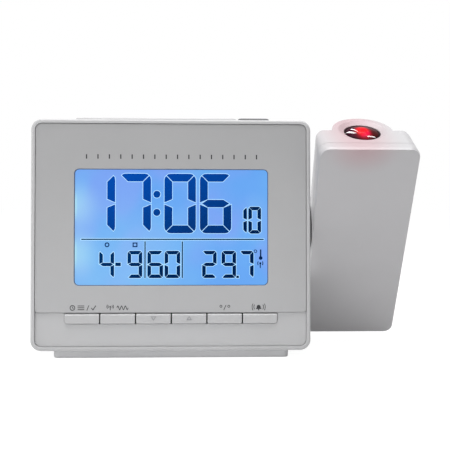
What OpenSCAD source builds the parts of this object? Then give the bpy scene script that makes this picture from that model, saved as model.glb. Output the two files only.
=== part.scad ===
// Projection alarm clock: a leaning body on a low plinth, and a projector arm that tilts on its side.
// Origin: centre of the plinth's underside. +X right, +Y to the back, +Z up, millimetres.
// Body pieces are drawn in the leaning body frame: x across, y back from the front rim, z up the face.
// Arm pieces are drawn in the arm frame: the tilt axis is X, z runs along the arm to the lens.

/* [Body] */
// Width of the body
body_w = 110; // [106:1:130]
// Height of the body along its face
body_h = 91; // [90:1:110]
// Depth of the body, front to back
body_d = 31; // [31:0.5:36]
// Depth of the front shell
front_d = 8.5; // [8:0.1:9]
// Wall thickness of the body shells
wall = 2; // [1.6:0.1:2.4]
// Corner radius of the body seen from the front
corner_r = 4.2; // [3.6:0.1:6]
// Rounding of the front edge
edge_r = 0.9; // [0.5:0.1:1.2]
// Rounding of the back edge
back_r = 3; // [2.6:0.1:3.5]
// Backward lean of the body in degrees
lean = 3; // [0:0.5:3.5]
// Open line between the front and the back shell
case_gap = 0.2; // [0.1:0.05:0.3]

/* [Plinth] */
// Width of the plinth
base_w = 93; // [80:1:100]
// Depth of the plinth
base_d = 27; // [24:0.5:27]
// Height of the plinth at the body's front edge
base_h = 3; // [3:0.1:4]
// Setback of the plinth from the body's front
base_set = 2; // [1:0.5:3]
// Radius of a rubber foot
foot_r = 4; // [3:0.5:5]
// Thickness of a rubber foot, flush with the plinth's rim
foot_t = 0.7; // [0.4:0.1:0.7]

/* [Face] */
// Width of the raised rim round the face
rim_w = 1.6; // [1.2:0.05:1.8]
// Open groove between the rim and the face plate
plate_gap = 0.2; // [0.15:0.05:0.4]
// Depth of the face plate's front below the rim
plate_v = 0.3; // [0.1:0.05:0.5]
// Thickness of the face plate
plate_t = 1.2; // [1:0.1:1.4]
// Height of the line between the face plate and the key panel
split_w = 14.9; // [14.6:0.1:16]
// Depth of the key panel below the rim
panel_v = 0.9; // [0.7:0.05:1.1]
// Thickness of the case wall behind the face plate
face_t = 1.9; // [1.7:0.1:2.2]
// Width of the face on each side of the display window
side_w = 16.8; // [16.8:0.1:20]
// Height of the display window
window_h = 46; // [42:0.5:47]
// Height of the window's lower edge above the body's underside
window_z = 25.5; // [25:0.5:27]
// Corner radius of the window
window_r = 1.9; // [1:0.1:3]

/* [Keys] */
// Distance between neighbouring keys
key_pitch = 14; // [13:0.1:14.2]
// Gap between neighbouring keys
key_gap = 0.45; // [0.3:0.05:0.6]
// Height of a key's cap
key_h = 4; // [3.6:0.1:4.2]
// Travel of a key
key_travel = 0.5; // [0.3:0.05:0.6]
// Depth of the key fronts below the rim
key_v = 0.1; // [0:0.05:0.3]
// Width of the sloping edge along the top of a key
key_bevel = 0.6; // [0.4:0.05:0.8]

/* [Top buttons] */
// Length of the light button; the snooze bar fills the rest of the row
light_l = 13; // [10:0.1:13.5]
// Distance of the row's ends outside the sides of the window
top_row_out = 1.5; // [0:0.1:1.8]
// Depth of both top buttons
top_button_d = 12.4; // [11:0.1:12.4]
// Setback of the top buttons from the body's front
top_button_v = 10.7; // [10:0.1:10.8]
// Rise of the snooze bar above the body
snooze_rise = 2.3; // [1.6:0.1:2.6]
// Rise of the light button above the body
light_rise = 2.4; // [1.8:0.1:2.8]
// Travel of the top buttons
top_travel = 0.8; // [0.5:0.1:1]

/* [Display] */
// Thickness of the liquid crystal glass
lcd_t = 2.2; // [2:0.1:2.4]
// Thickness of the light guide
guide_t = 2.4; // [2.2:0.1:2.6]
// Overlap of the glass behind the window on each side
lcd_lap = 3.8; // [3:0.1:4]
// Height of the glass's contact ledge
ledge_h = 4; // [3.5:0.1:4.5]
// Thickness of the circuit boards
board_t = 1.6; // [1.2:0.2:1.6]

/* [Power] */
// Diameter of a battery cell
cell_d = 14.5; // [14.3:0.1:14.6]
// Length of a battery cell
cell_l = 50.5; // [49.5:0.1:50.5]
// Middle of the battery bay, across
bay_x = -6; // [-8:0.5:-4]
// Middle of the battery bay, up the face
bay_z = 39.5; // [38:0.5:40]
// Thickness of the battery door
door_t = 1.5; // [1.3:0.1:1.8]
// Bore radius of the power jack
jack_bore_r = 2.8; // [2.7:0.05:2.9]
// Centre pin radius of the power jack
jack_pin_r = 1.05; // [0.9:0.05:1.25]

/* [Hinge] */
// Depth of the tilt axis below the rim
pivot_v = 15; // [14.8:0.1:16]
// Height of the tilt axis up the face
pivot_w = 48; // [47.5:0.5:52]
// Outer radius of the arm's hollow stub axle
stub_r = 4.8; // [4.4:0.1:4.8]
// Bore radius of the stub axle
stub_bore_r = 2.6; // [2:0.1:3]
// Length of the stub axle inside the body
stub_l = 10; // [9.5:0.1:11]
// Radius of the friction washer between body and arm
washer_r = 9.5; // [8:0.1:10]
// Gap between body and arm
arm_gap = 1.3; // [1:0.1:2]
// Running clearance of the stub axle in its bush
run_gap = 0.05; // [0.02:0.01:0.08]

/* [Projector arm] */
// Forward tilt of the arm at rest in degrees
arm_tilt = 28.3; // [-60:0.1:60]
// Width of the arm
arm_w = 38.8; // [36:0.2:42]
// Thickness of the arm without the lens housing
arm_t = 17.5; // [17:0.1:20]
// Distance from the tilt axis to the arm's front face
arm_front = 10.5; // [10:0.1:10.8]
// Length of the arm above the tilt axis
arm_top = 41.4; // [40:0.2:44]
// Length of the arm below the tilt axis
arm_low = 46; // [42:0.5:47]
// Depth of the arm's front cover
cover_d = 5.5; // [5:0.1:5.6]
// Width of the narrow bevel round the front cover
bevel_d = 1.5; // [1:0.1:2]
// Corner radius of the arm seen from the front
arm_r = 3.9; // [3:0.1:5]
// Inward draft of the back housing on each side
arm_draft = 0.6; // [0.6:0.1:1.5]
// Wall thickness of the arm
arm_wall = 1.6; // [1.4:0.1:1.8]
// Radius of the lens housing on the arm's back
bulge_r = 12; // [12:0.1:13]
// Length of the lens housing
bulge_l = 38; // [38:0.5:42]
// Radius of the shallow dish round the lens
dish_r = 9.6; // [9:0.1:10]
// Depth of the dish
dish_d = 1; // [0.6:0.1:1.2]
// Outer radius of the lens barrel
barrel_r = 7; // [6.8:0.05:7.1]
// Focus travel of the lens each way
focus_travel = 1; // [0.6:0.1:1]
// Radius of the focus wheel
wheel_r = 12.9; // [12.8:0.1:13.4]

/* [Hidden] */
$fn = 64;
over = 1;            // how far a cut runs past the face it opens
fit = 0.15;          // clearance between moulded pieces
seat = 0.1;          // clearance of a piece trapped between two others

// depths behind the rim
plate_back = plate_v + plate_t;
face_back = plate_back + face_t;
sheet_t = 1;
glass_v = face_back + seat;
guide_v = glass_v + lcd_t + seat;
holder_lip = 0.5;
board_v = guide_v + guide_t + seat + holder_lip;
board_back = board_v + board_t;

// display, seen from the front
window_w = body_w - 2 * side_w;
window_mid = window_z + window_h / 2;
glass_w = window_w + 2 * lcd_lap;
glass_h = window_h + 2 * lcd_lap;
holder_t = 3.3;
holder_shelf = 3;
case_lap = 0.8;      // the case's opening stands back behind the plate's
plate_foot_r = 1.2;
holder_w = glass_w + 2 * fit + 2 * holder_t;
holder_h = glass_h + 2 * fit + 2 * holder_t;
sheet_lap = 1.8;
sheet_w = window_w + 2 * sheet_lap;
sheet_h = window_h + 2 * sheet_lap;
strip_in = [1, 0.8];
led_l = 3;
led_w = 2.2;
led_z = [-10, 10];

// pieces on the main board, across and up
side_x = body_w / 2;
board_margin = 4;
notch_gap = 2;
chip_at = [-12, 66];
chip_r = 6;
chip_t = 1.4;
crystal_at = [6, 60];
crystal_r = 1.5;
crystal_l = 6.2;
radio_at = [-side_x + 21, 80];
radio_size = [20, 12];
radio_chip = [6, 6];
radio_t = 1;
sensor_at = [-side_x + 21, 10];
sensor_r = 1.6;
sensor_l = 3.5;
sensor_leg = 2.5;
sensor_leg_r = 0.3;

// keys
key_count = 6;
key_w = key_pitch - key_gap;
key_top = split_w - 0.3;
key_mid = key_top - key_h / 2;
key_r = 0.5;
key_edge = 0.35;
key_end_r = 1.5;
slot_w = key_count * key_pitch - key_gap + 2 * fit;
slot_h = key_h + 2 * fit;
flange_t = 1;
flange_lap = 1.2;
flange_in = 0.2;
switch_s = 6;
switch_t = 2.6;
plunger_t = 0.6;
plunger_r = 1.6;
stem_s = 3;
stem_end = board_v - switch_t - plunger_t - key_travel - run_gap;

// top buttons
top_button_r = 2;
top_button_e = 0.8;
snooze_x = -window_w / 2 - top_row_out;
snooze_l = window_w + 2 * top_row_out - light_l - key_gap;
light_x = snooze_x + snooze_l + key_gap;
snooze_post = snooze_x + snooze_l / 2;
light_post = light_x + light_l / 2;
top_inside = body_h - wall;
top_post = 1.6;
top_switch_z = top_inside - seat - top_travel - flange_t - top_post;
top_board_z = top_switch_z - run_gap - switch_t - plunger_t;
top_board_x0 = snooze_post - switch_s;
top_board_x1 = side_x - 14;
top_board_v0 = board_back + 2.2;
top_board_v1 = body_d - wall - fit;
hang_boss_x = [top_board_x0 + 3, top_board_x1 - 3];

// fasteners
screw_r = 1;
screw_head_r = 2;
screw_head_t = 1.4;
screw_taper = 0.4;
screw_cross = [2.4, 0.5, 1.2];
boss_r = 2.9;
boss_inset = 5;
boss_z = [6.5, 72];
post_r = 2.3;
post_inset = 7.5;
post_z = [16.5, body_h - 7.5];
thread_l = 6;
boss_floor = 2;
hang_boss_v = body_d - wall - screw_head_r - seat;

// plinth
base_front = -(base_d / 2 + base_set);
base_r = 0.8;
base_plan_r = 2.5;
base_rim = 3;
recess_r = 1;
foot_in = 0.6;
peg_r = 1.5;
peg_root = (base_h - (base_set + base_d) * sin(lean) - foot_t) / 2;
peg_x = base_w / 2 - 11;
peg_v = [front_d + 5, base_set + base_d - 4];

// battery bay
door_rib_gap = 0.4;   // the door's ribs press the cells lightly
spring_l = 5;
plate_clear = 0.9;
bay_l = cell_l + spring_l + plate_clear;
bay_h = 2 * (cell_d + 0.5);
bay_wall = 1.5;
door_v = body_d - door_t;
bay_v = door_v - cell_d - door_rib_gap;
cell_v = bay_v + seat + cell_d / 2;
door_lap = 1.6;
bay_ring = 1;
bay_ring_t = 1.2;
door_rib = [8, 0.3];
thumb_groove = [1.2, 6, 0.5];
thumb_pitch = 3;
contact_t = 0.4;
contact_w = 11;
nub_l = 1.5;
nub_r = 2.6;
wire_r = 0.4;

// rear fittings, across and up
rear_x = side_x - 17.5;
jack_z = 13;
jack_w = 9;
jack_h = 10.8;
jack_l = 11;
jack_nose_r = 4;
jack_floor = 2;
jack_pin_in = 1;
buzzer_z = 29.5;
buzzer_r = 7;
buzzer_t = 4;
sound_r = 0.9;
sound_ring = 3;
knob_z = 66;
knob_w = 2.4;
knob_travel = 3;
knob_depth = 2;
knob_stand = 0.8;
switch_case_w = 10;
switch_case_h = 5;
switch_case_t = 4.2;
rod_r = 4;
rod_x = [-side_x + 10, -side_x + 70];
rod_seat_x = [rod_x[0] + 4, rod_x[1] - 6];
rod_seat_t = 2;
rod_seat_w = 1.5;
rod_v = 20;
rod_z = 66;
coil_r = 5.6;
coil_x = [rod_x[0] + 15, rod_x[0] + 39];
vent_v = [17, 25];
vent_z = [14:2.4:24];
vent_h = 1.1;

// hinge
bush_r = stub_r + 1.1;
bush_flange_r = stub_r + 2.6;
bush_flange_t = 1.2;
bush_l = wall + bush_flange_t + 2.6;
axis_y = base_front + pivot_v * cos(lean) + pivot_w * sin(lean);
axis_z = base_h - pivot_v * sin(lean) + pivot_w * cos(lean);
arm_x0 = side_x + arm_gap;
arm_x1 = arm_x0 + arm_w;
stub_x0 = side_x - stub_l;
ring_x = side_x - bush_l - 2.4;
ring_t = 0.8;
ring_depth = 0.7;
ring_w = 1.4;
ring_open = 60;
disc_in = stub_r + 0.2;
disc_out = stub_r + 1.9;
disc_cone = 1.1;
disc_t = 0.4;
lead_r = 1.4;
lead_join = stub_x0 - 0.6;
lead_foot_x = lead_join - 6;
lead_foot_v = board_back - pivot_v;

// arm
cover_y = cover_d - arm_front;
arm_back = arm_t - arm_front;
arm_mid = (arm_x0 + arm_x1) / 2;
arm_len = arm_top + arm_low;
arm_mid_z = (arm_top - arm_low) / 2;
bevel_in = 0.35;
back_fillet = 3;
lens_y = arm_back + 0.2;
arm_boss_r = 2.6;
arm_boss_in = 5;
arm_boss_z = [arm_top - 6.2, -arm_low + 6.5];

// optics, measured down from the arm's end
tube_r = barrel_r + run_gap + 1.7;
tube_top = 4;
tube_l = 32;
barrel_top = dish_d + focus_travel + 0.1;
barrel_l = 13;
lens_t = 2.6;
barrel_bore = barrel_r - 0.8;
lens_r = barrel_bore - 0.05;
lens_curve = 18;
lens_cap_t = 0.8;
wheel_top = 11.4;
wheel_t = 5;
wheel_bore = tube_r + run_gap;
wheel_grooves = 36;
pin_r = 0.8;
pin_z = wheel_top + wheel_t / 2;
stage_r = 6;
stage_lip = 5;
lcd_stage = 25;
condenser_stage = 29;
led_r = 2.5;
led_board_t = 1.2;
ear_w = 5;
ear_l = 6;
ear_t = 2;
ear_z = 28;
small_lcd = [9.4, 7, 1.4];
condenser_curve = 9;
condenser_t = 2.4;

// placement of the leaning body and of the arm
module leaning() translate([0, base_front, base_h]) rotate([-lean, 0, 0]) children();
module on_arm() translate([0, axis_y, axis_z]) rotate([arm_tilt, 0, 0]) children();
module on_lens() on_arm() translate([arm_mid, lens_y, arm_top]) children();

// a rectangle with round corners, about its middle
module rounded_rect(w, h, r) {
    square([w - 2 * r, h], center = true);
    square([w, h - 2 * r], center = true);
    for (x = [-1, 1], y = [-1, 1])
        translate([x * (w / 2 - r), y * (h / 2 - r)])
            circle(r);
}

// one side of a block with a rounded top edge, from the corner's axis outwards
module edge_profile(r, t, e) {
    difference() {
        square([r, t]);
        translate([r - e, t - e])
            difference() {
                square(e + over);
                circle(e);
            }
    }
}

// one side of a block that narrows towards its top
module taper_profile(r, t, inset) polygon([[0, 0], [r, 0], [r - inset, t], [0, t]]);

// a block with round corners whose side profile is the child shape
module profiled_block(w, h, r, t) {
    for (a = [0, 1], b = [0, 1])
        mirror([a, 0, 0])
            mirror([0, b, 0])
                translate([w / 2 - r, h / 2 - r, 0])
                    rotate_extrude(angle = 90)
                        children();
    for (a = [0, 1])
        mirror([a, 0, 0])
            translate([w / 2 - r, h / 2 - r, 0])
                rotate([90, 0, 0])
                    linear_extrude(h - 2 * r)
                        children();
    for (b = [0, 1])
        mirror([0, b, 0])
            rotate([0, 0, 90])
                translate([h / 2 - r, w / 2 - r, 0])
                    rotate([90, 0, 0])
                        linear_extrude(w - 2 * r)
                            children();
    translate([-(w / 2 - r), -(h / 2 - r), 0])
        cube([w - 2 * r, h - 2 * r, t]);
}
module soft_block(w, h, r, e, t) profiled_block(w, h, r, t) edge_profile(r, t, e);

// a flat outline seen from the front, thickened from depth v0 to v1
module slab(v0, v1) translate([0, v1, 0]) rotate([90, 0, 0]) linear_extrude(v1 - v0) children();
// blocks whose rounded edge faces the front or the back
module front_block(w, h, r, e, v0, v1) translate([0, v1, 0]) rotate([90, 0, 0]) soft_block(w, h, r, e, v1 - v0);
module back_block(w, h, r, e, v0, v1) translate([0, v0, 0]) rotate([-90, 0, 0]) soft_block(w, h, r, e, v1 - v0);
// a round peg or hole running front to back
module peg(x, z, r, v0, v1) translate([x, v0, z]) rotate([-90, 0, 0]) cylinder(h = v1 - v0, r = r);
// a round rod running across
module rod(r, x0, x1) translate([x0, 0, 0]) rotate([0, 90, 0]) cylinder(h = x1 - x0, r = r);
// a plain box between two corners
module box(a, b) translate(a) cube(b - a);

// a wire swept along points; ref is any direction that the wire never follows
function unit(v) = v / norm(v);
function heading(p, i) = unit(p[min(i + 1, len(p) - 1)] - p[max(i - 1, 0)]);
function around(c, t, ref, r, n) =
    let (a = unit(cross(t, ref)), b = cross(t, a))
    [for (k = [0:n - 1]) c + r * (cos(360 * k / n) * a + sin(360 * k / n) * b)];
function bend(a, b, c, n) = [for (k = [0:n]) let (s = k / n) (1 - s) * (1 - s) * a + 2 * s * (1 - s) * b + s * s * c];
module wire(points, r, ref, sides = 8) {
    rings = [for (i = [0:len(points) - 1]) each around(points[i], heading(points, i), ref, r, sides)];
    last = (len(points) - 1) * sides;
    polyhedron(
        points = rings,
        faces = concat(
            [[for (k = [0:sides - 1]) k]],
            [for (i = [0:len(points) - 2], k = [0:sides - 1])
                [i * sides + k, (i + 1) * sides + k, (i + 1) * sides + (k + 1) % sides, i * sides + (k + 1) % sides]],
            [[for (k = [sides - 1:-1:0]) last + k]]
        )
    );
}

// body outlines seen from the front
module body_outline(inset) translate([0, body_h / 2]) rounded_rect(body_w - 2 * inset, body_h - 2 * inset, corner_r - inset);
module window_outline(grow, r) translate([0, window_mid]) rounded_rect(window_w + 2 * grow, window_h + 2 * grow, r);
module above_split(gap) translate([-body_w, split_w + gap]) square([2 * body_w, body_h]);
module key_slot_outline(grow) {
    h = slot_h + 2 * grow;
    translate([0, key_mid]) {
        rounded_rect(slot_w + 2 * grow, h, key_end_r + grow);
        translate([0, h / 4])
            square([slot_w + 2 * grow, h / 2], center = true);
    }
}

module front_case() color("gainsboro") leaning() difference() {
    union() {
        difference() {
            translate([0, 0, body_h / 2])
                front_block(body_w, body_h, corner_r, edge_r, 0, front_d);
            slab(face_back, front_d + over)
                body_outline(wall);
        }
        for (x = [-1, 1], z = boss_z)
            peg(x * (side_x - boss_inset), z, boss_r, face_back, front_d);
        for (x = [-1, 1], z = post_z)
            peg(x * (side_x - post_inset), z, post_r, face_back, board_v);
    }
    // pocket of the face plate
    slab(-over, plate_back)
        intersection() {
            body_outline(rim_w);
            above_split(0);
        }
    // lower key panel, set back, with a fine groove along the rim
    slab(-over, panel_v)
        body_outline(rim_w + plate_gap);
    slab(-over, panel_v + plate_gap)
        difference() {
            body_outline(rim_w);
            body_outline(rim_w + plate_gap);
        }
    // seat of the clear sheet and the opening behind it
    slab(-over, plate_back + sheet_t + seat)
        translate([0, window_mid])
            rounded_rect(sheet_w + 2 * fit, sheet_h + 2 * fit, window_r);
    slab(-over, face_back + over)
        window_outline(case_lap, window_r);
    slab(-over, face_back + over)
        key_slot_outline(0);
    for (x = [-1, 1], z = boss_z)
        peg(x * (side_x - boss_inset), z, screw_r + run_gap, front_d - thread_l + over, front_d + over);
    for (x = [-1, 1], z = post_z)
        peg(x * (side_x - post_inset), z, screw_r + run_gap, board_v - thread_l, board_v + over);
}

module face_plate() color("darkgray") leaning() slab(plate_v, plate_back) difference() {
    intersection() {
        body_outline(rim_w + plate_gap);
        translate([0, split_w + fit + body_h / 2])
            rounded_rect(body_w - 2 * (rim_w + plate_gap), body_h, plate_foot_r);
    }
    window_outline(0, window_r);
}

module lcd_window() color("aliceblue", 0.3) leaning() slab(plate_back, plate_back + sheet_t)
    translate([0, window_mid])
        rounded_rect(sheet_w, sheet_h, window_r);

module lcd_glass() color("lightskyblue", 0.7) leaning() translate([0, 0, window_mid]) {
    slab(glass_v, glass_v + lcd_t / 2)
        square([glass_w, glass_h], center = true);
    slab(glass_v + lcd_t / 2, glass_v + lcd_t)
        translate([0, -ledge_h / 2])
            square([glass_w, glass_h - ledge_h], center = true);
}

module light_guide() color("white", 0.8) leaning() translate([0, 0, window_mid]) slab(guide_v, guide_v + guide_t)
    translate([(led_w + fit) / 2, -ledge_h / 2])
        square([glass_w - led_w - fit, glass_h - ledge_h], center = true);

module backlight_leds() color("ivory") leaning() for (z = led_z)
    translate([-glass_w / 2, guide_v, window_mid - ledge_h / 2 + z - led_l / 2])
        cube([led_w, guide_t, led_l]);

module lcd_holder() color("white") leaning() translate([0, 0, window_mid]) difference() {
    slab(face_back, board_v)
        square([holder_w, holder_h], center = true);
    slab(face_back - over, board_v - holder_lip)
        square([glass_w + 2 * fit, glass_h + 2 * fit], center = true);
    // the back lip is open behind the light guide and for the contact strip
    slab(face_back, board_v + over)
        square([glass_w - 2 * holder_shelf, glass_h - 2 * ledge_h - ledge_h], center = true);
    slab(face_back, board_v + over)
        translate([0, (glass_h - ledge_h) / 2])
            square([window_w, ledge_h], center = true);
}

module contact_strip() color("dimgray") leaning()
    translate([0, 0, window_mid + (glass_h - ledge_h) / 2])
        slab(glass_v + lcd_t / 2, board_v)
            square([window_w - 2 * strip_in[0], ledge_h - 2 * strip_in[1]], center = true);

module main_board() color("seagreen") leaning() difference() {
    slab(board_v, board_back)
        difference() {
            union() {
                translate([0, body_h / 2])
                    square([body_w - 2 * (post_inset + post_r + 1), body_h - 2 * board_margin], center = true);
                for (z = post_z)
                    translate([0, z])
                        square([body_w - 2 * (post_inset - post_r), 2 * post_r + 2], center = true);
            }
            // room for the end of the stub axle
            translate([stub_x0 - notch_gap, pivot_w - bush_flange_r - notch_gap])
                square([stub_l + notch_gap, 2 * (bush_flange_r + notch_gap)]);
        }
    for (x = [-1, 1], z = post_z)
        peg(x * (side_x - post_inset), z, screw_r + fit, board_v - over, board_back + over);
}

module clock_chip() color("black") leaning() translate([chip_at[0], board_back, chip_at[1]])
    rotate([-90, 0, 0]) {
        cylinder(h = chip_t / 2, r = chip_r);
        translate([0, 0, chip_t / 2])
            cylinder(h = chip_t / 2, r1 = chip_r, r2 = chip_r - 1.5);
    }

module quartz_crystal() color("silver") leaning()
    translate([crystal_at[0], board_back + crystal_r, crystal_at[1]])
        rod(crystal_r, 0, crystal_l);

module radio_module() color("seagreen") leaning() translate([radio_at[0], 0, radio_at[1]]) {
    slab(board_back, board_back + radio_t)
        square(radio_size, center = true);
    slab(board_back + radio_t, board_back + 2 * radio_t)
        square(radio_chip, center = true);
}

module temperature_sensor() color("saddlebrown") leaning() {
    peg(sensor_at[0], sensor_at[1], sensor_r, board_back + sensor_leg, board_back + sensor_leg + sensor_l);
    for (s = [-1, 1])
        peg(sensor_at[0] + s * sensor_r / 2, sensor_at[1], sensor_leg_r, board_back, board_back + sensor_leg);
}

module tact_switch() {
    translate([-switch_s / 2, -switch_s / 2, 0])
        cube([switch_s, switch_s, switch_t]);
    translate([0, 0, switch_t])
        cylinder(h = plunger_t, r = plunger_r);
}
module key_switches() color("dimgray") leaning() for (i = [0:key_count - 1])
    translate([(i - (key_count - 1) / 2) * key_pitch, board_v, key_mid])
        rotate([90, 0, 0])
            tact_switch();

// key number i from the left: cap, retaining flange behind the wall, and stem to its switch
module key(i) {
    x = (i - (key_count - 1) / 2) * key_pitch;
    side = i == 0 ? -1 : i == key_count - 1 ? 1 : 0;
    leaning() translate([x, 0, key_mid]) {
        difference() {
            front_block(key_w, key_h, key_r, key_edge, key_v, face_back + seat);
            translate([0, key_v, key_h / 2])
                rotate([45, 0, 0])
                    cube([key_w + over, key_bevel * sqrt(2), key_bevel * sqrt(2)], center = true);
            if (side != 0)
                slab(key_v - over, face_back + seat + over)
                    translate([side * (key_w / 2 - key_end_r), -(key_h / 2 - key_end_r)])
                        mirror([side > 0 ? 0 : 1, 0])
                            difference() {
                                translate([0, -key_end_r - over])
                                    square(key_end_r + over);
                                circle(key_end_r);
                            }
        }
        slab(face_back + seat, face_back + seat + flange_t)
            square([key_w - 2 * flange_in, key_h + 2 * flange_lap], center = true);
        slab(face_back + seat + flange_t, stem_end)
            square(stem_s, center = true);
    }
}
module key_left_1() color("silver") key(0);
module key_left_2() color("silver") key(1);
module key_down() color("silver") key(2);
module key_up() color("silver") key(3);
module key_right_1() color("silver") key(4);
module key_right_2() color("silver") key(5);

// a button in the top wall: cap, flange under the wall, and post to its switch
module top_button(x0, l, rise, post_x) {
    v_mid = top_button_v + top_button_d / 2;
    leaning() {
        translate([x0 + l / 2, v_mid, top_inside - seat])
            soft_block(l, top_button_d, top_button_r, top_button_e, wall + seat + rise);
        box([x0, top_button_v - flange_lap, top_inside - seat - flange_t],
            [x0 + l, top_button_v + top_button_d + flange_lap, top_inside - seat]);
        translate([post_x, v_mid, top_inside - seat - flange_t - top_post])
            cylinder(h = top_post, r = plunger_r);
    }
}
module snooze_bar() color("whitesmoke") top_button(snooze_x, snooze_l, snooze_rise, snooze_post);
module light_button() color("dimgray") top_button(light_x, light_l, light_rise, light_post);

module top_board() color("seagreen") leaning() difference() {
    box([top_board_x0, top_board_v0, top_board_z - board_t], [top_board_x1, top_board_v1, top_board_z]);
    for (x = hang_boss_x)
        translate([x, hang_boss_v, top_board_z - board_t - over])
            cylinder(h = board_t + 2 * over, r = screw_r + fit);
}
module top_switches() color("dimgray") leaning() for (x = [snooze_post, light_post])
    translate([x, top_button_v + top_button_d / 2, top_board_z])
        tact_switch();

module bay_outline(grow) translate([bay_x, bay_z]) square([bay_l + 2 * grow, bay_h + 2 * grow], center = true);

module rear_case() color("gainsboro") leaning() {
    difference() {
        union() {
            difference() {
                translate([0, 0, body_h / 2])
                    back_block(body_w, body_h, corner_r, back_r, front_d + case_gap, body_d);
                translate([0, 0, body_h / 2])
                    back_block(body_w - 2 * wall, body_h - 2 * wall, corner_r - wall, back_r - wall,
                        front_d, body_d - wall);
            }
            slab(bay_v - bay_wall, body_d - wall)
                bay_outline(bay_wall);
            slab(body_d - wall - bay_ring_t, body_d - wall)
                bay_outline(door_lap + bay_ring);
            for (x = [-1, 1], z = boss_z)
                peg(x * (side_x - boss_inset), z, boss_r, front_d, body_d - wall);
            for (x = hang_boss_x)
                translate([x, hang_boss_v, top_board_z])
                    cylinder(h = top_inside - top_board_z, r = post_r);
            // seats of the ferrite rod
            for (x = rod_seat_x)
                box([x, rod_v, rod_z - rod_r - rod_seat_w],
                    [x + rod_seat_t, body_d - wall, rod_z + rod_r + rod_seat_w]);
        }
        slab(bay_v, body_d)
            bay_outline(0);
        slab(door_v - seat, body_d + over)
            bay_outline(door_lap + fit);
        for (x = [-1, 1], z = boss_z) {
            peg(x * (side_x - boss_inset), z, screw_r + fit, front_d - over, body_d);
            peg(x * (side_x - boss_inset), z, screw_head_r + fit, front_d + boss_floor, body_d + over);
        }
        for (x = hang_boss_x)
            translate([x, hang_boss_v, top_board_z - over])
                cylinder(h = thread_l, r = screw_r + run_gap);
        translate([rod_x[0] - over, rod_v, rod_z])
            rod(rod_r + run_gap, 0, rod_x[1] - rod_x[0] + 2 * over);
        // opening of the two top buttons
        box([snooze_x - fit, top_button_v - fit, top_inside - over],
            [light_x + light_l + fit, top_button_v + top_button_d + fit, body_h + over]);
        // bush, power jack, buzzer holes, slide switch, sensor slots and the plinth's pegs
        translate([0, pivot_v, pivot_w])
            rod(bush_r + run_gap, side_x - wall - over, side_x + over);
        peg(rear_x, jack_z, jack_nose_r + fit, body_d - wall - over, body_d + over);
        peg(rear_x, buzzer_z, sound_r, body_d - wall - over, body_d + over);
        for (a = [0:60:300])
            peg(rear_x + sound_ring * cos(a), buzzer_z + sound_ring * sin(a), sound_r,
                body_d - wall - over, body_d + over);
        box([rear_x - knob_w / 2 - fit, body_d - wall - over, knob_z - fit - knob_w / 2],
            [rear_x + knob_w / 2 + fit + knob_travel, body_d + over, knob_z + fit + knob_w / 2]);
        for (z = vent_z)
            box([-side_x - over, vent_v[0], z], [-side_x + wall + over, vent_v[1], z + vent_h]);
        for (x = [-1, 1], v = peg_v)
            translate([x * peg_x, v, -over])
                cylinder(h = wall + 2 * over, r = peg_r + run_gap);
    }
}

// the plinth is a wedge under the leaning body
module base_plate() color("darkgray") {
    difference() {
        intersection() {
            linear_extrude(base_h + over)
                rounded_rect(base_w, base_d, base_plan_r);
            translate([0, base_d, base_h + base_r])
                rotate([90, 0, 0])
                    linear_extrude(2 * base_d)
                        rounded_rect(base_w, 2 * (base_h + base_r), base_r);
        }
        leaning()
            box([-body_w, -body_d, 0], [body_w, 2 * body_d, body_h]);
        translate([0, 0, -over])
            linear_extrude(foot_t + over)
                rounded_rect(base_w - 2 * base_rim, base_d - 2 * base_rim, recess_r);
    }
    leaning() for (x = [-1, 1], v = peg_v)
        translate([x * peg_x, v, -peg_root])
            cylinder(h = wall + peg_root, r = peg_r);
}

module rubber_feet() color("dimgray") for (x = [-1, 1], y = [-1, 1])
    translate([x * (base_w / 2 - base_rim - foot_r - foot_in), y * (base_d / 2 - base_rim - foot_r - foot_in), 0])
        cylinder(h = foot_t, r = foot_r);

// a pan-head screw whose head sits on z = 0, with its shank below
module screw(l) {
    difference() {
        cylinder(h = screw_head_t, r1 = screw_head_r, r2 = screw_head_r - screw_taper);
        for (a = [0, 90])
            rotate([0, 0, a])
                translate([0, 0, screw_head_t])
                    cube(screw_cross, center = true);
    }
    translate([0, 0, -l])
        cylinder(h = l, r = screw_r);
}
module case_screws() color("silver") leaning() for (x = [-1, 1], z = boss_z)
    translate([x * (side_x - boss_inset), front_d + boss_floor, z])
        rotate([-90, 0, 0])
            screw(boss_floor + thread_l - over - 0.5);
module board_screws() color("silver") leaning() {
    for (x = [-1, 1], z = post_z)
        translate([x * (side_x - post_inset), board_back, z])
            rotate([-90, 0, 0])
                screw(board_t + thread_l - 1);
    for (x = hang_boss_x)
        translate([x, hang_boss_v, top_board_z - board_t])
            rotate([180, 0, 0])
                screw(board_t + thread_l - over - 1);
}

module battery_door() color("gainsboro") leaning() difference() {
    union() {
        slab(door_v, body_d)
            bay_outline(door_lap);
        // two ribs that locate the door inside the bay's mouth
        for (x = [-1, 1])
            slab(door_v - door_rib[1], door_v)
                translate([bay_x + x * bay_l / 4, bay_z])
                    square([door_rib[0], bay_h - 2 * fit], center = true);
    }
    // thumb grooves
    for (k = [-2:2])
        slab(body_d - thumb_groove[2], body_d + over)
            translate([bay_x + k * thumb_pitch, bay_z + (bay_h - thumb_groove[1]) / 2 - 1])
                square([thumb_groove[0], thumb_groove[1]], center = true);
}

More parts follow.
